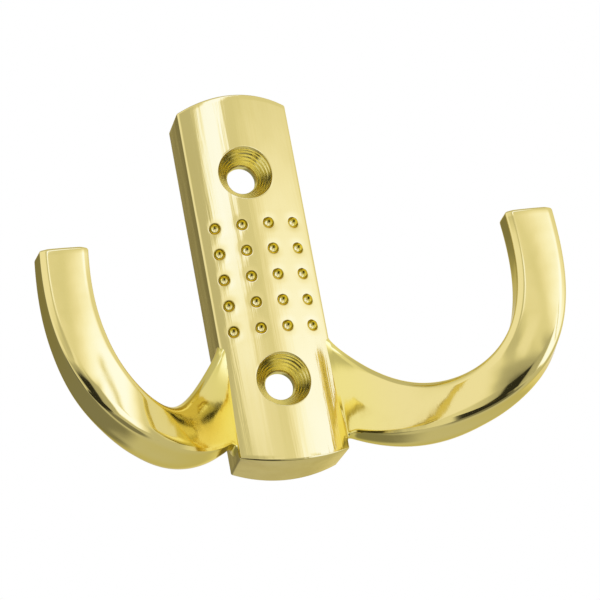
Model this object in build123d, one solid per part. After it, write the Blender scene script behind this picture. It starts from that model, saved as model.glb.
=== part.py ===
from build123d import *
import math
import os

# A double robe hook, cast in one piece: an upright mounting plate with two curled arms.
# Millimetres. +Z is up and the wall is the plane y = 0, so the front looks along -Y.
# The origin lies on the wall, midway between the two screw holes.

# Mounting plate
plate_width = 16.4
plate_back_width = 15.8
plate_length = 56.7
plate_depth = 8.8
end_rise = 1.64
front_radius = 19.3
edge_break = 0.2

# Hollow in the back of the casting
rim_wall = 1.9
front_wall = 4.0
hollow_corner = 1.5

# Countersunk screw holes
hole_spacing = 32.0
hole_diameter = 4.3
seat_diameter = 8.0
seat_lip = 0.5
seat_angle = 73.0

# Dimples in the front, between the two seats
dimple_columns = 4
dimple_rows = 5
dimple_side_margin = 2.2
dimple_seat_margin = 4.0
dimple_diameter = 1.7
dimple_depth = 0.45

# Arms: where the front face starts on the plate and where it ends at the tip
root_end_margin = 4.65
root_height = 14.5
root_setback = 0.5
root_sink = 0.5
root_fillet = 1.5
fillet_share_top = 0.35
fillet_share_back = 0.4
fillet_inset = 0.25
fillet_steps = 5
arm_reach = 37.3
arm_projection = 29.8
tip_height = -1.3
tip_width = 7.0
tip_turn = 0.2
tip_break = 0.3

# Arms: handles that bend the two edges of the front face. A leave handle is measured from
# the edge's start, and the others from below its end, at the height of the root's lower edge.
lower_leave = (11.0, -11.4, -8.5)
lower_belly = (-9.1, -3.2, -5.5)
lower_rise = (2.1, 0.6, -3.0)
upper_leave = (12.9, -2.9, -17.1)
upper_belly = (-10.0, -2.2, 0.7)
upper_rise = (2.4, 1.0, -1.4)

# Arms: section, from the root (share 0) to the tip (share 1)
arm_depths = (5.6, 7.7, 6.0, 4.3)
back_round_root = 4.6
back_round_tip = 1.1
back_round_limit = 0.45
corner_flats = 4
bevel_width = 0.9
bevel_depth = 0.45
outer_bevel_at_root = 0.35
inner_bevel_at_root = 1.8
inner_bevel_length = 0.75
turn_length = 0.35
arm_sections = 17
arm_overrun = 0.16


def edge_drop(half_width):
    """How far the curved front lies behind its crown at this distance from the middle."""
    return front_radius - math.sqrt(front_radius**2 - half_width**2)


def plate_outline(width, length):
    """The plate seen from the front: straight sides and two shallow convex ends."""
    x = width / 2
    z = length / 2
    corner = z - end_rise
    right = Line((x, -corner), (x, corner))
    top = ThreePointArc((x, corner), (0, z), (-x, corner))
    left = Line((-x, corner), (-x, -corner))
    bottom = ThreePointArc((-x, -corner), (0, -z), (x, -corner))
    return make_face([right, top, left, bottom])


def wall_plane(distance):
    """A plane parallel to the wall, this far in front of it, with its y axis upright."""
    return Plane(origin=(0, -distance, 0), x_dir=(1, 0, 0), z_dir=(0, -1, 0))


def plate_plan():
    """The plate seen from above: a flat back, two sides with draft and the curved front."""
    back = plate_back_width / 2
    side = plate_width / 2
    edge = edge_drop(side) - plate_depth
    return make_face(
        [
            Line((-back, 0), (back, 0)),
            Line((back, 0), (side, edge)),
            ThreePointArc((side, edge), (0, -plate_depth), (-side, edge)),
            Line((-side, edge), (-back, 0)),
        ]
    )


def plate_body():
    """The solid plate: its plan drawn upright, ended by its outline, its front rim broken."""
    bar = extrude(plate_plan(), plate_length, both=True)
    body = bar & extrude(wall_plane(0) * plate_outline(plate_width, plate_length), plate_depth)
    front_edge = edge_drop(plate_width / 2) - plate_depth
    rim = [edge for edge in body.edges() if edge.center().Y < front_edge + edge_break]
    return chamfer(rim, edge_break)


def hollow():
    """The open recess behind the front wall."""
    width = plate_back_width - 2 * rim_wall
    length = plate_length - 2 * rim_wall
    outline = fillet(plate_outline(width, length).vertices(), hollow_corner)
    return extrude(wall_plane(0) * outline, plate_depth - front_wall)


def screw_hole(height):
    """A round lip, the screw head's cone and the shank hole, cut from the front."""
    facing = Rot(90, 0, 0)
    lip = Pos(0, -plate_depth, height) * facing * Cylinder(seat_diameter / 2, 2 * seat_lip)
    cone_depth = (seat_diameter - hole_diameter) / 2 / math.tan(math.radians(seat_angle / 2))
    cone_middle = plate_depth - seat_lip - cone_depth / 2
    cone = Cone(hole_diameter / 2, seat_diameter / 2, cone_depth)
    seat = Pos(0, -cone_middle, height) * facing * cone
    shank = Pos(0, -plate_depth, height) * facing * Cylinder(hole_diameter / 2, 2 * plate_depth)
    return [lip, seat, shank]


def dimples():
    """Shallow bowls, evenly spaced along the curved front and up between the seats."""
    bowl_radius = ((dimple_diameter / 2) ** 2 + dimple_depth**2) / (2 * dimple_depth)
    centre_radius = front_radius + bowl_radius - dimple_depth
    across = plate_width - 2 * dimple_side_margin
    upright = hole_spacing - seat_diameter - 2 * dimple_seat_margin
    bowls = []
    for column in range(dimple_columns):
        angle = across * (column / (dimple_columns - 1) - 0.5) / front_radius
        x = centre_radius * math.sin(angle)
        y = front_radius - plate_depth - centre_radius * math.cos(angle)
        for row in range(dimple_rows):
            z = upright * (row / (dimple_rows - 1) - 0.5)
            bowls.append(Pos(x, y, z) * Sphere(bowl_radius))
    return bowls


def blend(values, share):
    """The point at this share of the Bezier curve that the values steer, by halving them down."""
    while len(values) > 1:
        values = [a + (b - a) * share for a, b in zip(values, values[1:])]
    return values[0]


def direction(handles, share):
    """The direction in which a Bezier curve runs at this share."""
    return (blend(handles[1:], share) - blend(handles[:-1], share)).normalized()


def ease(share):
    """A smooth step from 0 to 1."""
    share = min(max(share, 0.0), 1.0)
    return share * share * (3 - 2 * share)


def edge_handles():
    """Handles of the lower and the upper edge of the right arm's front face."""
    root_x = plate_width / 2 - root_sink
    root_y = edge_drop(plate_width / 2) - plate_depth + root_setback
    root_z = root_end_margin - plate_length / 2
    low = Vector(root_x, root_y, root_z)
    high = low + Vector(0, 0, root_height)
    outer = Vector(arm_reach, -arm_projection, tip_height)
    inner = outer + Vector(-tip_width, tip_turn, 0)
    below_outer = Vector(outer.X, outer.Y, root_z)
    below_inner = Vector(inner.X, inner.Y, root_z)
    lower = [
        low,
        low + Vector(*lower_leave),
        below_outer + Vector(*lower_belly),
        below_outer + Vector(*lower_rise),
        outer,
    ]
    upper = [
        high,
        high + Vector(*upper_leave),
        below_inner + Vector(*upper_belly),
        below_inner + Vector(*upper_rise),
        inner,
    ]
    return lower, upper


def rounded_back(low, high, front, back, corner):
    """A section's corners round its back, from the high front corner to the low front corner.

    Each back corner is a quarter circle, laid up in narrow flats."""
    turns = [math.pi / 2 * step / corner_flats for step in range(corner_flats + 1)]
    near = [corner * math.cos(turn) for turn in turns]
    far = [corner * math.sin(turn) for turn in turns]
    high_arc = [(high - corner + n, back - corner + f) for n, f in zip(near, far)]
    low_arc = [(low + corner - f, back - corner + n) for n, f in zip(near, far)]
    return [(high, front)] + high_arc + low_arc + [(low, front)]


def bevelled_front(width, outer_bevel, inner_bevel):
    """The corners of a section's front face, which lies between a bevel along each edge."""
    low = (bevel_width * outer_bevel, -bevel_depth * outer_bevel)
    high = (width - bevel_width * inner_bevel, -bevel_depth * inner_bevel)
    return [low, high]


def flat_face(plane, corners):
    """The face with these corners, on this plane."""
    return plane * make_face(Polyline(*corners, close=True))


def section_place(share):
    """The plane of the section at this share of the way from root to tip, with its main sizes.

    It stands parallel to the plate's side at the root and turns square to the run of the arm."""
    lower, upper = edge_handles()
    low = blend(lower, share)
    high = blend(upper, share)
    square = ease(share / turn_length)
    along = (direction(lower, share) + direction(upper, share)).normalized()
    run = Vector(1, 0, 0) * (1 - square) + along * square
    across = (high - low).normalized()
    back = across.cross(run).normalized()
    plane = Plane(origin=low, x_dir=across, z_dir=across.cross(back))
    width = (high - low).length
    depth = blend(list(arm_depths), share)
    corner = back_round_root + (back_round_tip - back_round_root) * share
    corner = min(corner, 2 * back_round_limit * depth, back_round_limit * width)
    return plane, width, depth, corner


def arm_section(share):
    """The arm's section at this share."""
    plane, width, depth, corner = section_place(share)
    outer_bevel = outer_bevel_at_root + (1 - outer_bevel_at_root) * ease(share / turn_length)
    inner_bevel = 1 + (inner_bevel_at_root - 1) * (1 - ease(share / inner_bevel_length))
    front = bevelled_front(width, outer_bevel, inner_bevel)
    return flat_face(plane, front + rounded_back(0, width, 0, depth, corner))


def collar_section(share, flare, inset=0.0):
    """The arm's section grown by the fillet at its foot, its back and its top.

    Its front is always set in, and its other sides by the given inset."""
    plane, width, depth, corner = section_place(share)
    low = inset - flare
    high = width + fillet_share_top * flare - inset
    back = depth + fillet_share_back * flare - inset
    return flat_face(plane, rounded_back(low, high, fillet_inset, back, corner))


def share_at(distance):
    """The share at which the arm's middle is this far out from the plate's side."""
    lower, upper = edge_handles()
    start, end = -arm_overrun, turn_length
    while end - start > 1e-6:
        middle = (start + end) / 2
        x = (blend(lower, middle).X + blend(upper, middle).X) / 2
        if x < plate_width / 2 + distance:
            start = middle
        else:
            end = middle
    return start


def root_collar():
    """The concave fillet round the arm's root, a quarter circle laid up in narrow strips."""
    sections = [collar_section(share_at(-root_sink), root_fillet)]
    for step in range(fillet_steps):
        angle = math.pi / 2 * step / fillet_steps
        out = root_fillet * (1 - math.cos(angle))
        sections.append(collar_section(share_at(out), root_fillet * (1 - math.sin(angle))))
    sections.append(collar_section(share_at(root_fillet), 0.0, fillet_inset))
    return loft(sections, ruled=True)


def arm():
    """The right arm, lofted past both its ends and cut off flat inside the plate and at the tip."""
    span = 1 + 2 * arm_overrun
    shares = [span * i / (arm_sections - 1) - arm_overrun for i in range(arm_sections)]
    room = 3 * (arm_reach + arm_projection)
    start = plate_width / 2 - root_sink
    keep = Pos(start + room / 2, 0, tip_height - room / 2) * Box(room, room, room)
    bar = loft([arm_section(share) for share in shares]) & keep
    rim = [edge for edge in bar.edges() if abs(edge.center().Z - tip_height) < tip_break / 10]
    return chamfer(rim, tip_break) + root_collar()


def robe_hook():
    """The whole casting: plate and arms first, then the hollow, the holes and the dimples."""
    right = arm()
    body = plate_body() + right + mirror(right, Plane.YZ) - hollow()
    for height in (-hole_spacing / 2, hole_spacing / 2):
        body -= screw_hole(height)
    return body - dimples()


os.makedirs("parts", exist_ok=True)
hook = robe_hook()
export_step(hook, "parts/robe_hook.step")
print("solids", len(hook.solids()), "volume", round(hook.volume, 1), "box", hook.bounding_box())
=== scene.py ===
# %% [markdown]
# A double robe hook is one polished casting: an upright wall plate with a gently curved front, two
# countersunk screw holes, a grid of punched dimples, and two arms that curl out, down and up again.
# It could be dressed by giving the solid model a gold material, but a mirror finish shows every flat
# facet of a solid. So the same form is worked out again here as fine grids of points, from the same
# sizes, and the grids stand in for the solid.

# %% Load the frame
import math

import bmesh
import bpy
import numpy as np
from mathutils import Matrix
from mathutils.geometry import tessellate_polygon


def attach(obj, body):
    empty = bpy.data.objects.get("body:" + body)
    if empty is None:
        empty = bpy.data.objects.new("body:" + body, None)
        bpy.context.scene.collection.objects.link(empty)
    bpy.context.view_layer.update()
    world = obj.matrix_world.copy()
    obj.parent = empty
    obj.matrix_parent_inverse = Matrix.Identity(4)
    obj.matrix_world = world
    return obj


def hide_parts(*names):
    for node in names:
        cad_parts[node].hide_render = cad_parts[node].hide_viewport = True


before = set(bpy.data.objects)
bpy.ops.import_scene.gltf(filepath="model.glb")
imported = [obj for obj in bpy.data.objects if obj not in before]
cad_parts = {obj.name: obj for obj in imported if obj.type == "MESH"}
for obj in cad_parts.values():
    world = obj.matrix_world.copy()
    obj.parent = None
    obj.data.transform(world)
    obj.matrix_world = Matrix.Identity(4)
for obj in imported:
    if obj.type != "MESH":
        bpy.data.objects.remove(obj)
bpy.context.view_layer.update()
MM = 0.001

# %% [markdown]
# The sizes are those of the solid model, in millimetres, but for the dimples, which are shallower there
# to spare it facets. The wall is the plane y = 0, the front looks along -Y, and the origin is midway
# between the two screw holes. Lengths that only polishing makes, such as the softness of a lip or of a
# bevel's edge, are added to them.

# %% Sizes of the plate
plate_width, plate_back_width = 16.4, 15.8
plate_length, plate_depth, end_rise = 56.7, 8.8, 1.64
front_radius, rim_round = 19.3, 0.3
rim_wall, front_wall, hollow_corner = 1.9, 4.0, 1.5
hole_spacing, hole_radius, seat_radius = 32.0, 2.15, 4.0
seat_lip, seat_angle, seat_round = 0.5, 73.0, 0.14
dimple_columns, dimple_rows, dimple_pitch = 4, 5, 4.0
dimple_radius, dimple_depth, lip_softness = 0.85, 0.72, 0.045
pucker_depth, pucker_radius = 0.022, 1.25
print("the plate is", plate_width, "by", plate_length, "mm and stands", plate_depth, "mm off the wall")

# %% Sizes of the arms
root_z, root_height, root_setback, root_sink = -23.7, 14.5, 0.5, 0.5
root_fillet, fillet_share_top, fillet_share_back = 1.5, 0.35, 0.4
arm_reach, arm_projection, tip_height = 37.3, 29.8, -1.3
tip_width, tip_turn, tip_round = 7.0, 0.2, 0.5
arm_depths = (5.6, 7.7, 6.0, 4.3)
back_round_root, back_round_tip, back_round_limit = 4.6, 1.1, 0.45
bevel_width, bevel_depth, face_bulge, middle_bulge = 0.9, 0.45, 0.18, 0.22
bevel_soft_tip, bevel_soft_root, bevel_soft_from = 0.2, 0.85, 0.2
outer_bevel_at_root, inner_bevel_at_root, inner_bevel_length = 0.35, 1.8, 0.75
turn_length = 0.35
print("the arms reach", arm_reach, "mm aside and", arm_projection, "mm forwards")

# %% [markdown]
# Every surface below is a function of two parameters on a grid. A quilt sews the grids together: it
# stacks their points, makes four-sided faces from the grid's neighbours, and then welds the points
# that coincide, so that the finished plate is one closed skin. Modelling it by hand with loop cuts
# would give the same skin, but no formula would keep its curves exact.

# %% A quilt of grids
class Quilt:
    """Collects grids, fans and flat faces, with a finish each, and welds them into one mesh."""

    def __init__(self):
        self.points = []
        self.faces = []
        self.finishes = []
        self.count = 0

    def _add(self, points, faces, finish):
        self.points.append(points)
        self.faces.append(np.asarray(faces) + self.count)
        self.finishes.append(np.full(len(faces), finish))
        self.count += len(points)

    def grid(self, points, finish):
        """Joins each point (i, j) with (i+1, j), (i+1, j+1) and (i, j+1)."""
        rows, columns = points.shape[:2]
        index = np.arange(rows * columns).reshape(rows, columns)
        corners = [index[:-1, :-1], index[1:, :-1], index[1:, 1:], index[:-1, 1:]]
        self._add(points.reshape(-1, 3), np.stack(corners, -1).reshape(-1, 4), finish)

    def fan(self, centre, ring, finish):
        """Joins each two neighbours of a ring with its centre."""
        around = np.arange(len(ring))
        following = np.roll(around, -1)
        faces = np.stack([np.full(len(ring), len(ring)), around, following, following], -1)
        self._add(np.vstack([ring, centre]), faces, finish)

    def flat(self, outline, holes, y, finish):
        """Fills an outline of (x, z) points, with holes in it, by triangles in the plane of this y."""
        loops = [outline, *holes]
        points = np.insert(np.vstack(loops), 1, y, axis=1)
        triangles = tessellate_polygon([[(x, z, 0.0) for x, z in loop.tolist()] for loop in loops])
        triangles = np.array(triangles)
        self._add(points, np.column_stack([triangles, triangles[:, 2]]), finish)

    def mesh(self, name, weld=0.002):
        """Rounds the points to the weld size, merges equal ones and drops the doubled corners."""
        points = np.vstack(self.points)
        cells = np.round(points / weld).astype(np.int64)
        _, first, place = np.unique(cells, axis=0, return_index=True, return_inverse=True)
        faces = place.ravel()[np.vstack(self.faces)]
        polygons = [[c for i, c in enumerate(face) if c != face[i - 1]] for face in faces.tolist()]
        kept = np.array([len(polygon) > 2 for polygon in polygons])
        finishes = np.concatenate(self.finishes)[kept]
        polygons = [polygon for polygon in polygons if len(polygon) > 2]
        mesh = bpy.data.meshes.new(name)
        mesh.from_pydata(points[first] * MM, [], polygons)
        mesh.polygons.foreach_set("material_index", finishes.astype(np.int32))
        work = bmesh.new()
        work.from_mesh(mesh)
        bmesh.ops.recalc_face_normals(work, faces=work.faces)
        print(name, "has", sum(not edge.is_manifold for edge in work.edges), "open edges")
        work.to_mesh(mesh)
        work.free()
        return mesh


# %% [markdown]
# Three small helpers do the rest of the sewing. A ring becomes a seamless band once its first point is
# repeated at its end. A direction is a vector divided by its own length. A smooth step eases from one
# value to another, with no corner at either end.

# %% Helpers for grids
def closed(rings):
    """A grid of rings with its first column repeated at the end."""
    return np.concatenate([rings, rings[:, :1]], axis=1)


def unit(v):
    """The directions of these vectors: each divided by its own length."""
    return v / np.linalg.norm(v, axis=-1, keepdims=True)


def smooth(t):
    """A smooth step from 0 to 1: three t squared less two t cubed."""
    t = np.clip(t, 0.0, 1.0)
    return t * t * (3 - 2 * t)


print("a quarter of the way along, the smooth step has reached", smooth(0.25))

# %% [markdown]
# The plate's front is part of an upright cylinder. Seen from the front, its outline has straight sides
# and two shallow arcs at the ends. These few formulas place everything on the plate.

# %% The plate's formulas
half_width = plate_width / 2
end_radius = (half_width**2 + end_rise**2) / (2 * end_rise)
edge_arc = front_radius * math.asin((half_width - rim_round) / front_radius)


def front_y(x):
    """The cylinder's y at this x: the crown's y plus how far a circle of that radius falls back."""
    return front_radius - plate_depth - np.sqrt(front_radius**2 - np.square(x))


def end_z(x):
    """The height of the plate's end at this x: a circle through both corners and the top."""
    return plate_length / 2 - end_radius + np.sqrt(end_radius**2 - np.square(x))


def on_front(arc, z, inward=0.0):
    """The point this far round the cylinder from its crown and this far in along its normal."""
    angle = np.asarray(arc) / front_radius
    radius = front_radius - inward
    x = radius * np.sin(angle)
    y = front_radius - plate_depth - radius * np.cos(angle)
    return np.stack(np.broadcast_arrays(x, y, z), -1).astype(float)


print("the front is", round(2 * edge_arc, 2), "mm round its curve")

# %% [markdown]
# A dimple is a punch mark: a small round bowl whose lip polishing has softened. A bump texture would
# look painted on at this size, so the bowl is real. A square patch of the front is laid out in rings,
# from the square's sides in to the lip and down to the bowl's middle, so that the rings follow the
# edge that the eye looks for.

# %% A patch of the front with one dimple
# The last finish is a painted reflection for the dimples' steep rings.
PLATE, ARM, SIDE, SEAT, BACK, REFLECTION_RING = range(6)
cell = 0.5
dimple_rings, dimple_crowding = 12, 2.2
# The second number is how many rings inside the lip take the painted reflection.
bowl_rings, reflection_bands, dimple_fade = 12, 7, 1.2


def square_ring(half_a, half_z):
    """Points a cell apart round a rectangle, anticlockwise from its low right corner."""
    a = np.linspace(-1, 1, round(2 * half_a / cell) + 1)[:-1] * half_a
    z = np.linspace(-1, 1, round(2 * half_z / cell) + 1)[:-1] * half_z
    right = np.column_stack([np.full(len(z), half_a), z])
    top = np.column_stack([-a, np.full(len(a), half_z)])
    return np.vstack([right, top, -right, -top])


def bowl_depth(radius, reach):
    """How deep the metal lies: a sphere inside the lip and a falling line outside it, blended by
    (b + root of (b squared + 4 k squared)) / 2, plus the wide, shallow dent that the punch draws in
    round it, all faded out towards the patch's sides."""
    sphere = (dimple_radius**2 + dimple_depth**2) / (2 * dimple_depth)
    drop = np.sqrt(sphere**2 - np.minimum(radius, dimple_radius) ** 2) - (sphere - dimple_depth)
    slope = dimple_radius / (sphere - dimple_depth)
    below = drop - slope * np.maximum(radius - dimple_radius, 0)
    soft = (below + np.sqrt(below**2 + 4 * lip_softness**2)) / 2
    pucker = pucker_depth * np.exp(-((radius / pucker_radius) ** 2))
    return (soft + pucker) * smooth((reach - radius) / (reach - dimple_radius) * dimple_fade)


def dimple_patch(quilt, arc, z):
    """Rings of points from a square of the front to the middle of its dimple. The steep rings just
    inside the lip take a deeper gold, a painted reflection of the bowl's own gold."""
    half = dimple_pitch / 2
    square = square_ring(half, half)
    distance = np.hypot(square[:, 0], square[:, 1])
    circle = square / distance[:, None]
    share = np.linspace(1, 0, dimple_rings)[:, None] ** dimple_crowding
    outside = dimple_radius + (distance - dimple_radius) * share
    angle = np.linspace(math.pi / 2, 0, bowl_rings)[1:-1, None]
    radius = np.vstack([outside, dimple_radius * np.sin(angle) * np.ones(len(square))])
    depth = bowl_depth(radius, half)
    rings = on_front(arc + circle[:, 0] * radius, z + circle[:, 1] * radius, depth)
    lip_row = dimple_rings - 1
    foot_row = lip_row + reflection_bands
    quilt.grid(closed(rings[:lip_row + 1]), PLATE)
    # These steep rings take the painted reflection finish.
    quilt.grid(closed(rings[lip_row:foot_row + 1]), REFLECTION_RING)
    quilt.grid(closed(rings[foot_row:]), PLATE)
    quilt.fan(on_front(arc, z, bowl_depth(0.0, half)), rings[-1], PLATE)


print("a dimple's middle lies", round(float(bowl_depth(0.0, dimple_pitch / 2)), 2), "mm deep")

# %% [markdown]
# Each screw hole was drilled, then countersunk with a turning tool, which left fine rings. Its patch
# starts as a rectangle of the front and closes in to a circle. Then the lip, the cone and the shank
# follow as turned rings. A boolean cut would leave long thin faces here, and they'd spoil the shine.

# %% A patch of the front with one screw hole
hole_half_arc, hole_half_z = 8.0, 6.0
hole_rings, hole_crowding, cone_rings = 16, 0.75, 9
lip_rings, polished_rings, lip_share = 4, 3, 0.6
cone_depth = (seat_radius - hole_radius) / math.tan(math.radians(seat_angle / 2))
floor_y = front_wall - plate_depth


def hole_patch(quilt, z):
    """Rings from a rectangle to the seat's lip, and on down the cone to the back of the front wall.
    Gives the outline of the hole there."""
    square = square_ring(hole_half_arc, hole_half_z)
    corners = on_front(square[:, 0], square[:, 1])[:, [0, 2]]
    circle = unit(corners)
    lip_top = front_y(circle[:, 0] * seat_radius)
    seat_y = seat_lip - plate_depth
    lip = np.minimum(seat_round, lip_share * (seat_y - lip_top))
    start = circle * (seat_radius + lip)[:, None]
    share = np.linspace(0, 1, hole_rings)[:, None, None] ** hole_crowding
    flat = corners * (1 - share) + start * share
    front = np.stack([flat[..., 0], front_y(flat[..., 0]), flat[..., 1] + z], -1)
    turn = np.linspace(0, math.pi / 2, lip_rings + 1)[1:, None]
    fall = np.linspace(0, 1, cone_rings)[:, None]
    one = np.ones(len(circle))
    lip_radii = seat_radius + lip * (1 - np.sin(turn))
    cone_radii = (seat_radius + (hole_radius - seat_radius) * fall) * one
    radii = np.vstack([lip_radii, cone_radii, hole_radius * one])
    lip_heights = lip_top + lip * (1 - np.cos(turn))
    heights = np.vstack([lip_heights, (seat_y + cone_depth * fall) * one, floor_y * one])
    seat = np.stack([circle[:, 0] * radii, heights, circle[:, 1] * radii + z], -1)
    quilt.grid(closed(np.concatenate([front, seat[:polished_rings]])), PLATE)
    quilt.grid(closed(seat[polished_rings - 1:]), SEAT)
    return seat[-1][:, [0, 2]]


print("a seat's cone is", round(cone_depth, 2), "mm deep")

# %% [markdown]
# The plate: patches tile its middle, plain grids fill up to the rim, a rounded rim turns the corner,
# and the side walls run back to the wall plane. Flat faces need no grid, so the back rim and the floor
# of the hollow are outlines filled with triangles.

# %% The plate's front
end_rows, rim_corner_points, rim_rings, side_rings = 10, 3, 6, 4
patch_arc = dimple_columns * dimple_pitch / 2
patch_top = hole_spacing / 2 + hole_half_z
arc_lines = np.concatenate([[-edge_arc], np.arange(-patch_arc, patch_arc + cell / 2, cell), [edge_arc]])
z_lines = np.arange(-patch_top, patch_top + cell / 2, cell)
front_x = on_front(arc_lines, 0)[:, 0]
end_limit = end_z(front_x) - rim_round
end_share = np.linspace(0, 1, end_rows + 1)


def plate_front(quilt):
    """All of the front inside the rim. Gives the outlines of the two holes at their far end."""
    columns = (np.arange(dimple_columns) - (dimple_columns - 1) / 2) * dimple_pitch
    rows = (np.arange(dimple_rows) - (dimple_rows - 1) / 2) * dimple_pitch
    for arc in columns:
        for z in rows:
            dimple_patch(quilt, arc, z)
    for strip in (arc_lines[:2], arc_lines[-2:]):
        quilt.grid(on_front(strip[:, None], z_lines), PLATE)
    for side in (-1, 1):
        z = side * (patch_top + (end_limit[:, None] - patch_top) * end_share)
        quilt.grid(on_front(arc_lines[:, None], z), PLATE)
    return [hole_patch(quilt, z) for z in (hole_spacing / 2, -hole_spacing / 2)]


print("the front's grid has", len(arc_lines), "lines up and", len(z_lines), "lines across its middle")

# %% [markdown]
# Polishing rounds the front's edge. A ring of points follows the plate's outline, with the way outwards
# at each. A parabola carries it over the edge, and straight lines run on to the wall. A Bevel modifier
# would round the hollow's edge too, which no wheel ever reached.

# %% The plate's rim, sides and back
def rim_ring():
    """The front's outline as (x, z) points with outward directions, anticlockwise from low right."""
    rise = patch_top + (end_limit[-1] - patch_top) * end_share[1:]
    side_z = np.concatenate([-rise[::-1], z_lines, rise])
    right = np.column_stack([np.full(len(side_z), front_x[-1]), side_z])
    x = front_x[::-1]
    top = np.column_stack([x, end_limit[::-1]])
    tilt = np.column_stack([x, np.sqrt(end_radius**2 - x**2)]) / end_radius
    turn = np.linspace(0, 1, rim_corner_points + 2)[1:-1, None]
    corner = unit(np.array([1.0, 0.0]) * (1 - turn) + tilt[0] * turn)
    start, end = np.repeat(top[:1], rim_corner_points, 0), np.repeat(top[-1:], rim_corner_points, 0)
    points = np.vstack([right, start, top, end])
    ways = np.vstack([np.tile([1.0, 0.0], (len(right), 1)), corner, tilt, corner[::-1] * [-1, 1]])
    return np.vstack([points, -points]), np.vstack([ways, -ways])


def hollow_outline(end_points=18, corner_points=7):
    """The hollow seen from the back: the plate's outline inside its rim. A parabola turns each
    corner from the straight side into the arched end."""
    half_x = plate_back_width / 2 - rim_wall
    side = plate_length / 2 - rim_wall - end_rise
    bow = (half_x**2 + end_rise**2) / (2 * end_rise)
    x = np.linspace(half_x - hollow_corner, hollow_corner - half_x, end_points)
    end = np.column_stack([x, side + np.sqrt(bow**2 - x**2) - (bow - end_rise)])
    t = np.linspace(0, 1, corner_points + 1)[:-1, None]
    start, corner = np.array([half_x, side - hollow_corner]), np.array([half_x, side])
    turn = start * (1 - t) ** 2 + corner * 2 * t * (1 - t) + end[0] * t**2
    half = np.vstack([turn, end, turn[::-1] * [-1, 1]])
    return np.vstack([half, -half])


def plate_shell(quilt):
    """The front, the rounded rim, the side walls, the back rim and the hollow."""
    exits = plate_front(quilt)
    points, ways = rim_ring()
    edge = points + ways * rim_round
    front = np.insert(points, 1, front_y(points[:, 0]), axis=1)
    crest = np.insert(edge, 1, front_y(np.clip(edge[:, 0], -half_width, half_width)), axis=1)
    foot = crest + [0, rim_round, 0]
    t = np.linspace(0, 1, rim_rings)[:, None, None]
    quilt.grid(closed(front * (1 - t) ** 2 + crest * 2 * t * (1 - t) + foot * t**2), PLATE)
    back = np.insert(edge * [plate_back_width / plate_width, 1], 1, 0.0, axis=1)
    t = np.linspace(0, 1, side_rings)[:, None, None]
    quilt.grid(closed(foot * (1 - t) + back * t), SIDE)
    hollow = hollow_outline()
    quilt.flat(back[:, [0, 2]], [hollow], 0.0, BACK)
    ring = np.insert(hollow, 1, 0.0, axis=1)
    quilt.grid(closed(np.stack([ring, ring + [0, floor_y, 0]])), BACK)
    quilt.flat(hollow, exits, floor_y, BACK)


print("the rim has", len(rim_ring()[0]), "points round it and the hollow", len(hollow_outline()))

# %% [markdown]
# An arm is one bar. Its front face lies between two Bezier curves, the lower and the upper edge, and its
# section turns from the plate's side to the run of the bar. A curve object with a bevel profile couldn't
# change its section on the way, so all points are worked out at once: the share of the way along is one
# parameter of the grid and the place round the section is the other. The handles below are steps in
# millimetres from the root's corners, and from the points at its height straight below the tip's.

# %% The arm's path
lower_leave, lower_belly, lower_rise = (11.0, -11.4, -8.5), (-9.1, -3.2, -5.5), (2.1, 0.6, -3.0)
upper_leave, upper_belly, upper_rise = (12.9, -2.9, -17.1), (-10.0, -2.2, 0.7), (2.4, 1.0, -1.4)


def bezier(handles, share):
    """Points on the Bezier curve of these handles: each two neighbours are blended, until one is left."""
    values = [np.asarray(h, float) for h in handles]
    share = np.asarray(share)[..., None]
    while len(values) > 1:
        values = [a + (b - a) * share for a, b in zip(values, values[1:])]
    return values[0]


def edge_handles():
    """Handles of the lower and the upper edge of the right arm's front face."""
    low = np.array([half_width - root_sink, front_y(half_width) + root_setback, root_z])
    high = low + [0, 0, root_height]
    outer = np.array([arm_reach, -arm_projection, tip_height])
    inner = outer + [-tip_width, tip_turn, 0]
    under_outer = np.array([outer[0], outer[1], root_z])
    under_inner = np.array([inner[0], inner[1], root_z])
    lower = [low, low + lower_leave, under_outer + lower_belly, under_outer + lower_rise, outer]
    upper = [high, high + upper_leave, under_inner + upper_belly, under_inner + upper_rise, inner]
    return lower, upper


lower_edge, upper_edge = edge_handles()
steps = np.diff(bezier(lower_edge, np.linspace(0, 1, 200)), axis=0)
print("the lower edge of an arm is", round(float(np.linalg.norm(steps, axis=1).sum()), 1), "mm long")


def section_frame(share):
    """For each share: the low edge point, the directions across, back and along, width and depth."""
    low = bezier(lower_edge, share)
    high = bezier(upper_edge, share)
    low_run = unit(bezier(lower_edge[1:], share) - bezier(lower_edge[:-1], share))
    high_run = unit(bezier(upper_edge[1:], share) - bezier(upper_edge[:-1], share))
    square = smooth(share / turn_length)[..., None]
    run = np.array([1.0, 0, 0]) * (1 - square) + unit(low_run + high_run) * square
    across = unit(high - low)
    back = unit(np.cross(across, run))
    width = np.linalg.norm(high - low, axis=-1)
    depth = bezier([[d] for d in arm_depths], share)[..., 0]
    return low, across, back, run, width, depth


# %% [markdown]
# The section is a rectangle with two bevels in front and two round corners behind. Polishing wears the
# bevels' edges most near the root, where the wheel turns the corner, so their softness grows that way.
# The wheel also leaves the front a little crowned: a parabola across it, bevels and all, so that no
# crease shows between the bevels and the face.

# %% The arm's section
arc_points, face_points, bevel_points, side_points, back_points = 17, 24, 4, 6, 8


def round_corner(before, corner, after, size, steps=6):
    """A soft corner: a parabola from beside the corner on one side to beside it on the other."""
    start = corner + unit(before - corner) * size[:, None]
    end = corner + unit(after - corner) * size[:, None]
    t = np.linspace(0, 1, steps)[:, None, None]
    return start * (1 - t) ** 2 + corner * 2 * t * (1 - t) + end * t**2


def between(start, end, steps):
    """Evenly spaced points from start to end, both left out."""
    t = np.linspace(0, 1, steps + 2)[1:-1, None, None]
    return start * (1 - t) + end * t


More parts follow.
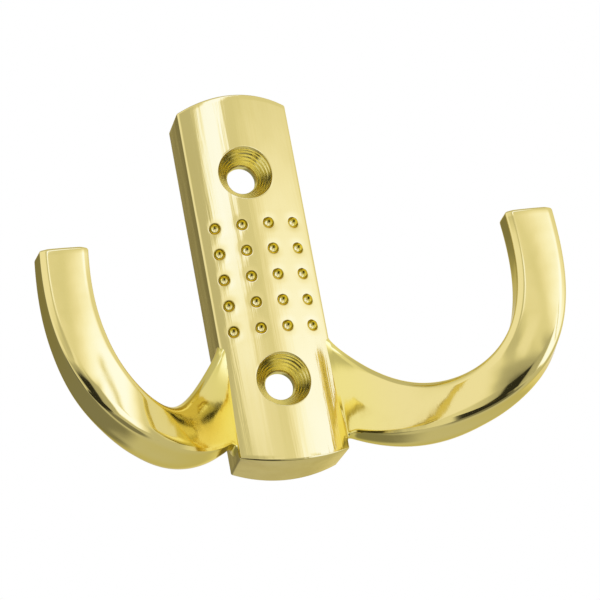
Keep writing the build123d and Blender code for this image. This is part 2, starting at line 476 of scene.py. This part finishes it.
def section_points(share, flare):
    """The outline at each share, as across and back, grown on three sides by the fillet's flare."""
    *_, width, depth = section_frame(share)
    square = smooth(share / turn_length)
    outer = outer_bevel_at_root + (1 - outer_bevel_at_root) * square
    inner = 1 + (inner_bevel_at_root - 1) * (1 - smooth(share / inner_bevel_length))
    worn = smooth((share - bevel_soft_from) / (1 - bevel_soft_from))
    soft = bevel_soft_root + (bevel_soft_tip - bevel_soft_root) * worn
    soft_low = soft * outer
    corner = back_round_root + (back_round_tip - back_round_root) * share
    corner = np.minimum(corner, back_round_limit * np.minimum(2 * depth, width))
    low = -flare
    high = width + fillet_share_top * flare
    back = depth + fillet_share_back * flare
    zero = np.zeros_like(width)
    face_low = np.stack([low + bevel_width * outer, -bevel_depth * outer], -1)
    face_high = np.stack([high - bevel_width * inner, -bevel_depth * inner], -1)
    low_front, high_front = np.stack([low, zero], -1), np.stack([high, zero], -1)
    low_back, high_back = np.stack([low, back], -1), np.stack([high, back], -1)
    turn = np.linspace(0, math.pi / 2, arc_points)[:, None]
    sine, cosine = corner * (1 - np.sin(turn)), corner * (1 - np.cos(turn))
    high_arc = np.stack([high - cosine, back - sine], -1)
    low_arc = np.stack([low + sine, back - cosine], -1)
    face_start = round_corner(low_front, face_low, face_high, soft_low)
    face_end = round_corner(face_low, face_high, high_front, soft)
    face = between(face_start[-1], face_end[0], face_points)
    high_edge = round_corner(face_high, high_front, high_back, soft)
    low_edge = round_corner(low_back, low_front, face_low, soft_low)
    high_bevel = between(face_end[-1], high_edge[0], bevel_points)
    low_bevel = between(low_edge[-1], face_start[0], bevel_points)
    front = np.concatenate([low_edge, low_bevel, face_start, face, face_end, high_bevel, high_edge])
    crown = face_bulge + middle_bulge * 4 * share * (1 - share)
    place = np.clip(2 * (front[..., 0] - low) / (high - low) - 1, -1, 1)
    front[..., 1] -= crown * (1 - place**2)
    high_side = between(high_edge[-1], high_arc[0], side_points)
    back_side = between(high_arc[-1], low_arc[0], back_points)
    low_side = between(low_arc[-1], low_edge[0], side_points)
    return np.concatenate([front, high_side, high_arc, back_side, low_arc, low_side])


print("a section has", len(section_points(np.zeros(1), np.zeros(1))), "points round it")

# %% [markdown]
# At its root the bar swells in a small hollow fillet, as moulds need. At its tip the bar was cut flat and
# the cut's edge was rounded. Both are simple moves of whole rows: the fillet grows each section by what
# a quarter circle still stands out there, and the tip draws its last rings in by a quarter circle.

# %% The arm's grid
root_overlap, even_share, row_crowding = 0.004, 0.12, 1.7
level_from, level_length = 0.8, 0.2


def swollen(share, flare):
    """The skin at each share as (row, place, 3): the section's outline set in space."""
    low, across, back, *_ = section_frame(share)
    outline = section_points(share, flare)
    return (low + across * outline[..., :1] + back * outline[..., 1:]).transpose(1, 0, 2)


def fillet_flare(distance):
    """How far a quarter-round fillet stands out at this distance from the wall."""
    d = np.clip(distance, 0, root_fillet)
    return 1 - np.sqrt(np.maximum(2 * root_fillet * d - d**2, 0)) / root_fillet


def arm_skin(rows=250):
    """The bar's skin from inside the plate's side up to where the rounding of its tip starts. Rows
    crowd towards the root. The last rows are slid along the bar until they end level."""
    t = np.linspace(0, 1, rows)
    along = even_share * t + (1 - even_share) * t**row_crowding
    share = (1 + root_overlap) * along - root_overlap
    none, full = np.zeros(rows), np.full(rows, root_fillet)
    skin = swollen(share, none)
    wall = half_width - (half_width - plate_back_width / 2) * (1 - skin[..., 1] / front_y(half_width))
    distance = skin[..., 0] - np.minimum(wall, half_width)
    skin += (swollen(share, full) - skin) * fillet_flare(distance)[..., None]
    run = section_frame(share)[3][-1]
    lack = tip_height - tip_round - skin[-1, :, 2]
    weight = smooth((share - level_from) / level_length)
    return skin + (run / run[2]) * lack[:, None] * weight[:, None, None]


def tip_rings(ring, steps=8, flat_share=0.25):
    """Rings from the bar's last ring over the rounded edge of the cut, and one more on the cut itself,
    which keeps the shading of the edge off the flat. Each is the last ring drawn in towards its middle,
    by the same width on all four sides, so no corner crosses itself."""
    up = np.array([0, 0, 1.0])
    sideways = unit(section_frame(np.array([1.0]))[1][0] * [1, 1, 0])
    ways = np.stack([sideways, np.cross(up, sideways)])
    place = ring @ ways.T
    middle = (place.max(0) + place.min(0)) / 2
    reach = (place.max(0) - place.min(0)) / 2
    inward = ((middle - place) / reach) @ ways
    turn = np.linspace(0, math.pi / 2, steps)[1:, None, None]
    rings = ring + tip_round * (inward * (1 - np.cos(turn)) + up * np.sin(turn))
    return np.concatenate([rings, rings[-1:] + inward * tip_round * flat_share])


def arms(quilt):
    """The right arm and its mirror image, each closed inside the plate and at the tip."""
    skin = arm_skin()
    skin = np.concatenate([skin, tip_rings(skin[-1])])
    for side in (1, -1):
        turned = skin * [side, 1, 1]
        quilt.grid(closed(turned), ARM)
        quilt.fan(turned[0].mean(0), turned[0], ARM)
        quilt.fan(turned[-1].mean(0), turned[-1], ARM)


print("an arm's grid has", arm_skin().shape[0], "rows and ends level at z =", arm_skin()[-1, 0, 2].round(2))

# %% [markdown]
# Both parts are sewn into one mesh, as the hook is one casting. The arms start inside the plate, where no
# seam shows. The mesh then stands in for the solid of the same name and takes its place on the body.
# Faces that meet at more than the sharp angle keep a crisp edge, and all others are shaded smooth.

# %% Build the casting
sharp_angle = 38
quilt = Quilt()
plate_shell(quilt)
arms(quilt)
mesh = quilt.mesh("robe_hook_casting")
mesh.polygons.foreach_set("use_smooth", np.ones(len(mesh.polygons), bool))
mesh.set_sharp_from_angle(angle=math.radians(sharp_angle))
casting = bpy.data.objects.new("robe_hook_casting", mesh)
bpy.context.scene.collection.objects.link(casting)
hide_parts("robe_hook")
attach(casting, "root")
print(len(mesh.vertices), "points and", sum(len(p.vertices) - 2 for p in mesh.polygons), "triangles")

# %% [markdown]
# Polished brass is a plain metal: a pale gold colour for what it reflects, full metallic, and a low
# roughness. What makes it look real is that it's never quite even. A hand-held polishing wheel leaves
# slow waves and hair-fine streaks, and a deeper gold is painted where the metal mirrors itself. Each finish
# below adds such marks in object coordinates, in metres, so a scale of 125 gives waves about 8 mm apart.

# %% A small kit for materials
pale_gold = (0.86, 0.73, 0.27)


class Finish:
    """A metal material whose nodes are added one at a time. The colour and the roughness it starts
    with stay on the shader's sockets, for programs that don't read the nodes linked to them."""

    def __init__(self, name, colour, roughness):
        self.material = bpy.data.materials.new(name)
        self.material.use_nodes = True
        self.tree = self.material.node_tree
        self.shader = self.tree.nodes["Principled BSDF"]
        self.shader.inputs["Metallic"].default_value = 1.0
        self.shader.inputs["Base Color"].default_value = (*colour, 1)
        self.shader.inputs["Roughness"].default_value = roughness
        self.shader.inputs["Specular Tint"].default_value = (0.92, 0.82, 0.42, 1)
        self.place = self.add("ShaderNodeTexCoord").outputs["Object"]
        mesh.materials.append(self.material)

    def __str__(self):
        return f"{self.material.name}: {len(self.tree.nodes)} nodes"

    def add(self, kind, inputs=(), **settings):
        """Adds a node. An input is a number, a vector or another node's output."""
        node = self.tree.nodes.new(kind)
        for key, value in settings.items():
            setattr(node, key, value)
        for key, value in dict(inputs).items():
            if isinstance(value, bpy.types.NodeSocket):
                self.tree.links.new(value, node.inputs[key])
            else:
                node.inputs[key].default_value = value
        return node

    def noise(self, scale, stretch=(1, 1, 1), detail=2.0):
        """Clouds of noise about 1 / scale metres across. A stretch below 1 draws them out that way."""
        mapped = self.add("ShaderNodeMapping", {"Vector": self.place, "Scale": stretch})
        inputs = {"Vector": mapped.outputs[0], "Scale": scale, "Detail": detail}
        return self.add("ShaderNodeTexNoise", inputs).outputs["Fac"]

    def spread(self, value, low, high):
        """Takes the middle of the noise, 0.3 to 0.7, to the range from low to high."""
        limits = {"Value": value, "From Min": 0.3, "From Max": 0.7, "To Min": low, "To Max": high}
        return self.add("ShaderNodeMapRange", limits).outputs["Result"]

    def colours(self, value, first, second):
        """Mixes two colours by a value from 0 to 1."""
        node = self.add("ShaderNodeMix", {"Factor": value}, data_type="RGBA")
        node.inputs["A"].default_value = (*first, 1)
        node.inputs["B"].default_value = (*second, 1)
        self.tree.links.new(node.outputs["Result"], self.shader.inputs["Base Color"])

    def roughness(self, value):
        """Takes the roughness from a value."""
        self.tree.links.new(value, self.shader.inputs["Roughness"])

    def relief(self, *heights):
        """Lays reliefs over each other, each a pair of a height from 0 to 1 and its size in metres."""
        normal = None
        for height, size in heights:
            inputs = {"Height": height, "Distance": size, "Strength": 1.0}
            if normal is not None:
                inputs["Normal"] = normal
            normal = self.add("ShaderNodeBump", inputs).outputs["Normal"]
        self.tree.links.new(normal, self.shader.inputs["Normal"])


print("pale gold is", pale_gold)

# %% [markdown]
# The plate's front was polished up and down, so its streaks run along Z: the noise is squeezed along Z,
# which draws it out. A slow wave bends the reflections a little, as on any hand-polished curve.

# %% The plate's front
front = Finish("polished front", pale_gold, 0.07)
tint = front.spread(front.noise(160, stretch=(1, 1, 0.25)), 0, 1)
front.colours(tint, (0.87, 0.74, 0.285), (0.85, 0.72, 0.26))
front.roughness(front.spread(front.noise(900, stretch=(1, 1, 0.05), detail=4), 0.05, 0.11))
waves = front.noise(110, stretch=(1, 1, 0.6))
streaks = front.noise(900, stretch=(1, 1, 0.05), detail=4)
front.relief((waves, 0.00006), (streaks, 0.00004))
print(front)

# %% [markdown]
# The arms were polished along their run and over their bends, so no one direction of streaks fits them.
# Even, slow waves do, with a fine grain that softens the reflections a little more than on the front.
# Over the last 8 mm beside the plate the gold is painted deeper, as a painted reflection of the plate's
# gold in the arm.

# %% The arms
# Painted reflection of the plate: full within 8 mm of the middle, gone at 16 mm.
painted_reflection_full, painted_reflection_none = 0.008, 0.016
bar = Finish("polished arms", pale_gold, 0.08)
bar_axes = bar.add("ShaderNodeSeparateXYZ", {"Vector": bar.place}).outputs
aside = bar.add("ShaderNodeMath", {0: bar_axes["X"]}, operation="ABSOLUTE").outputs[0]
limits = {"Value": aside, "From Min": painted_reflection_full, "From Max": painted_reflection_none, "To Min": 1.0, "To Max": 0.0}
root = bar.add("ShaderNodeMapRange", limits, interpolation_type="SMOOTHSTEP").outputs["Result"]
# The second, deeper gold is the painted reflection of the plate in the arm's root.
bar.colours(root, (0.87, 0.74, 0.27), (0.89, 0.77, 0.23))
bar.roughness(bar.spread(bar.noise(700, detail=4), 0.06, 0.12))
waves, grain = bar.noise(130), bar.noise(2200, stretch=(1, 1, 0.3), detail=3)
bar.relief((waves, 0.00009), (grain, 0.000002))
print(bar)

# %% [markdown]
# The side walls were only brushed over: the wheel doesn't get into the corner beside the arms. They are
# a little darker and rougher, with streaks that run up and down.

# %% The side walls
wall = Finish("brushed sides", (0.78, 0.65, 0.26), 0.16)
tint = wall.spread(wall.noise(300, stretch=(1, 1, 0.3)), 0, 1)
wall.colours(tint, (0.85, 0.74, 0.37), (0.77, 0.65, 0.31))
wall.roughness(wall.spread(wall.noise(1500, stretch=(1, 1, 0.05), detail=3), 0.10, 0.22))
waves = wall.noise(260, stretch=(1, 1, 0.4))
scratches = wall.noise(2500, stretch=(1, 1, 0.03), detail=3)
wall.relief((waves, 0.00006), (scratches, 0.000004))
print(wall)

# %% [markdown]
# The countersink keeps the turning tool's rings. Their height is a sine of the distance from the hole's
# axis. Both holes lie at the same height above and below the origin, so the size of z serves for both.

# %% The screw seats
ring_pitch, ring_wobble = 0.00034, 0.00015
seat = Finish("turned seats", (0.90, 0.79, 0.28), 0.20)
seat_axes = seat.add("ShaderNodeSeparateXYZ", {"Vector": seat.place}).outputs


def seat_sum(operation, first, second=0.0):
    """One sum on the values of the seats' finish."""
    return seat.add("ShaderNodeMath", {0: first, 1: second}, operation=operation).outputs[0]


height = seat_sum("SUBTRACT", seat_sum("ABSOLUTE", seat_axes["Z"]), hole_spacing / 2 * MM)
squares = [seat_sum("MULTIPLY", value, value) for value in (height, seat_axes["X"])]
distance = seat_sum("SQRT", seat_sum("ADD", *squares))
wobble = seat_sum("MULTIPLY", seat.noise(500), ring_wobble)
phase = seat_sum("MULTIPLY", seat_sum("ADD", distance, wobble), 2 * math.pi / ring_pitch)
rings = seat_sum("MULTIPLY_ADD", seat_sum("SINE", phase), 0.5)
seat.roughness(seat.spread(seat.noise(1200, detail=3), 0.15, 0.24))
seat.relief((seat.noise(300), 0.00002), (rings, 0.000013))
print(seat)

# %% [markdown]
# The back is as cast: matt, grainy and a little browner, because nobody polishes what faces the wall.

# %% The back
back = Finish("cast back", (0.60, 0.48, 0.20), 0.45)
back.colours(back.spread(back.noise(400, detail=4), 0, 1), (0.64, 0.52, 0.22), (0.50, 0.38, 0.15))
back.roughness(back.spread(back.noise(2500, detail=4), 0.36, 0.55))
back.relief((back.noise(1800, detail=5), 0.00005))
print(back)

# %% [markdown]
# The steep ring of each dimple is painted a deeper gold. This painted reflection stands in for the bowl
# mirroring its own gold.

# %% The dimples' rings, painted reflection
# Painted reflection: a deeper, more saturated gold for the bowl mirroring itself in its steep ring.
dimple_reflection = Finish("painted dimple reflection", (0.84, 0.70, 0.10), 0.12)
dimple_reflection.colours(dimple_reflection.spread(dimple_reflection.noise(900), 0, 1), (0.86, 0.72, 0.12), (0.80, 0.64, 0.08))
dimple_reflection.roughness(dimple_reflection.spread(dimple_reflection.noise(1500, detail=3), 0.16, 0.24))
print(dimple_reflection)
print("finishes:", [material.name for material in mesh.materials])

# %% [markdown]
# The camera stands a little below the hook and to its left, and is rolled, as the photograph shows. Its
# place is worked out from three angles and a distance, and set as a matrix.

# %% Camera
view_azimuth, view_elevation, view_roll = -16.665, -19.143, -10.719
view_distance, view_aside, view_above = 668.656, 5.026, -3.658
focal_pixels, image_pixels, sensor = 4649.208, 600, 36.0

azimuth, elevation, roll = np.radians([view_azimuth, view_elevation, view_roll])
level_part = math.cos(elevation)
behind = np.array([math.sin(azimuth) * level_part, -math.cos(azimuth) * level_part, math.sin(elevation)])
level = unit(np.cross(-behind, [0, 0, 1.0]))
upright = np.cross(level, -behind)
right = level * math.cos(roll) + upright * math.sin(roll)
up = upright * math.cos(roll) - level * math.sin(roll)
place = right * view_aside + up * view_above + behind * view_distance - [0, plate_depth, 0]

camera = bpy.data.objects.new("camera", bpy.data.cameras.new("camera"))
bpy.context.scene.collection.objects.link(camera)
camera.data.sensor_width = sensor
camera.data.lens = focal_pixels / image_pixels * sensor
camera.data.clip_start = 0.01
camera.data.clip_end = 20
matrix = np.eye(4)
matrix[:3] = np.column_stack([right, up, behind, place * MM])
camera.matrix_world = Matrix(matrix.tolist())
bpy.context.scene.camera = camera
print("the camera stands", [round(float(v)) for v in place], "mm from the origin")

# %% [markdown]
# Metal shows what stands round it, so lighting it means choosing what it sees. Small polished things
# are photographed in a tent of white cloth, with bright and grey parts and a dark gap for the lens. The
# tent here is a sphere. Its brightness is a formula of the direction, kept as a colour attribute, and
# only reflections see it. Everything else is lit by a plain white world. Each card below says its
# brightness, then from where to where it reaches in degrees and how soft its edges are. Cards that
# come later lie over the ones before them.

# %% The tent's cards
shoulder = 0.8


def band(value, low, high, soft):
    """1 between low and high and 0 outside, with edges this soft."""
    return smooth((value - low) / soft + 0.5) * smooth((high - value) / soft + 0.5)


def tent_level(az, el):
    """The tent's brightness for directions in degrees: azimuth from -Y towards +X, and elevation."""
    level = np.full(az.shape, 0.60)

    def card(value, *masks):
        """Lays this brightness over the tent where every mask is 1."""
        nonlocal level
        mask = np.prod(masks, axis=0)
        level = level * (1 - mask) + value * mask

    # Pale cloth in front and on the far right, dark cloth behind on the left.
    card(0.85, band(az, -105, 105, 30), band(el, -4, 58, 14))
    card(0.90, band(az, 90, 165, 25), band(el, -8, 45, 14))
    card(0.24, band(az, -172, -100, 16), band(el, -44, 32, 12))
    # A bright side on the left, with greyer cloth round the middle.
    card(1.15, band(az, -90, -38, 16), band(el, -3, 60, 10))
    card(0.60, band(az, -38, -20, 10), band(el, 12, 32, 7))
    card(0.74, band(az, -44, -5, 11), band(el, -6, 13, 6))
    card(0.77, band(az, -2, 24, 12), band(el, 16, 40, 5))
    # A window on the right, brightest low down.
    right = np.clip(2.6 - 0.25 * (el - 17), 0.8, 3.3)
    card(right, band(az, 22, 68, 25), band(el, -38, 40, 8))
    card(0.97, band(az, -10, 8, 10), band(el, 13, 18, 3))
    # The main light: a slanting strip that brightens upwards and makes the streak down the plate.
    middle = -14 + 1.15 * (el - 17)
    key = np.clip(1.4 + 0.5 * (el - 17), 1.4, 3.5)
    card(key, band(az - middle, -9, 9, 8), band(el, 14, 50, 4))
    # Grey cloth and a slanting pale strip near the horizon.
    card(0.60, band(az, -40, -16, 10), band(el, -3, 14, 6))
    card(1.05, band(az + 5 - 1.5 * (el - 7), -6, 6, 6), band(el, -5, 11, 5))
    # The lower half: grey that darkens from left to right, and another slanting pale strip.
    fading = np.clip(0.60 - 0.014 * (az + 55), 0.45, 0.85)
    card(fading, band(az, -92, 6, 10), band(el, -62, -6, 6))
    card(0.50, band(az, 4, 29, 8), band(el, -45, 3, 8))
    card(0.68, band(az - 42 + 1.05 * el, -3, 3, 6), band(el, -14, 12, 5))
    # The gap for the lens and the dark floor, which make the black patches on the arms.
    card(0.03, band(az, -42, -6, 6), band(el, -60, -12, 5))
    card(0.03, band(az, -90, -20, 10), band(el, -75, -35, 5))
    card(0.15, band(az, -110, -84, 8), band(el, -30, -6, 8))
    card(0.22, band(el, -99, -64, 12))
    return level


def cloth_colour(level):
    """Red, green and blue of the cloth. Above 0.8, each rises ever more slowly by its own shoulder, so
    bright cloth is a little cool and the gold in front of it doesn't burn out to yellow."""
    top, ease = np.array([0.37, 0.57, 4.0]), np.array([0.6, 1.0, 4.0])
    over = np.maximum(level - shoulder, 0)[..., None]
    return np.minimum(level, shoulder)[..., None] + top * (1 - np.exp(-over / ease))


print("straight ahead the tent is at", round(float(tent_level(np.zeros(1), np.zeros(1))[0]), 2))

# %% [markdown]
# The sphere is a grid of azimuths and elevations, a step apart, and each of its points takes the colour
# that the cards give there. Its material only emits that colour. The tent is a stage piece, so it isn't
# part of the hook, and it's hidden from the camera, from matt surfaces and from shadows.

# %% The light tent
tent_radius, tent_step = 0.6, 1.5
az, el = np.meshgrid(np.arange(-180, 181, tent_step), np.arange(-90, 91, tent_step), indexing="ij")
a, e = np.radians([az, el])
dome = tent_radius * np.stack([np.sin(a) * np.cos(e), -np.cos(a) * np.cos(e), np.sin(e)], -1)
index = np.arange(az.size).reshape(az.shape)
corners = [index[:-1, :-1], index[:-1, 1:], index[1:, 1:], index[1:, :-1]]
tent_mesh = bpy.data.meshes.new("light_tent")
tent_mesh.from_pydata(dome.reshape(-1, 3), [], np.stack(corners, -1).reshape(-1, 4))
glow = cloth_colour(tent_level(az, el))
glow = np.concatenate([glow, np.ones((*az.shape, 1))], -1)
tent_mesh.color_attributes.new("glow", "FLOAT_COLOR", "POINT").data.foreach_set("color", glow.ravel())
tent = bpy.data.objects.new("light_tent", tent_mesh)
bpy.context.scene.collection.objects.link(tent)
tent.visible_camera = False
tent.visible_diffuse = False
tent.visible_shadow = False
cloth = bpy.data.materials.new("tent cloth")
cloth.use_nodes = True
cloth.node_tree.nodes.clear()
attribute = cloth.node_tree.nodes.new("ShaderNodeAttribute")
attribute.attribute_name = "glow"
emission = cloth.node_tree.nodes.new("ShaderNodeEmission")
output = cloth.node_tree.nodes.new("ShaderNodeOutputMaterial")
cloth.node_tree.links.new(attribute.outputs["Color"], emission.inputs["Color"])
cloth.node_tree.links.new(emission.outputs[0], output.inputs["Surface"])
cloth.cycles.emission_sampling = "NONE"
tent_mesh.materials.append(cloth)
darkest, brightest = float(glow[..., :3].min()), float(glow.max())
print("the tent's brightness goes from", round(darkest, 2), "to", round(brightest, 2))

# %% [markdown]
# A plain pale floor lies well below the hook, as below a hook on a wall. One weak, wide lamp gives it the
# hook's soft shadow, and the world is plain white at strength 1. Neither the floor nor the lamp shows
# in reflections, because the tent alone says what the metal mirrors.

# %% Floor, world and lamp
floor_half, floor_z = 3, -0.5
floor_corners = [(x * floor_half, y * floor_half, floor_z) for x, y in ((-1, -1), (1, -1), (1, 1), (-1, 1))]
floor_mesh = bpy.data.meshes.new("floor")
floor_mesh.from_pydata(floor_corners, [], [(0, 1, 2, 3)])
floor = bpy.data.objects.new("floor", floor_mesh)
bpy.context.scene.collection.objects.link(floor)
floor.visible_glossy = False
paint = bpy.data.materials.new("floor paint")
paint.use_nodes = True
paint.node_tree.nodes["Principled BSDF"].inputs["Base Color"].default_value = (0.86, 0.86, 0.86, 1)
paint.node_tree.nodes["Principled BSDF"].inputs["Roughness"].default_value = 0.9
floor_mesh.materials.append(paint)
lamp = bpy.data.objects.new("lamp", bpy.data.lights.new("lamp", "AREA"))
bpy.context.scene.collection.objects.link(lamp)
lamp.data.size = 0.4
lamp.data.energy = 2.0
lamp.location = (-0.2, -0.3, 0.9)
lamp.visible_glossy = False
world = bpy.data.worlds.new("studio")
bpy.context.scene.world = world
world.use_nodes = True
world.node_tree.nodes["Background"].inputs["Color"].default_value = (1, 1, 1, 1)
world.node_tree.nodes["Background"].inputs["Strength"].default_value = 1.0
print("the lamp gives", lamp.data.energy, "watts over", round(lamp.data.size, 2), "metres")

# %% [markdown]
# The picture shows colours as they are, with the Standard view transform.

bpy.context.scene.view_settings.view_transform = "Standard"
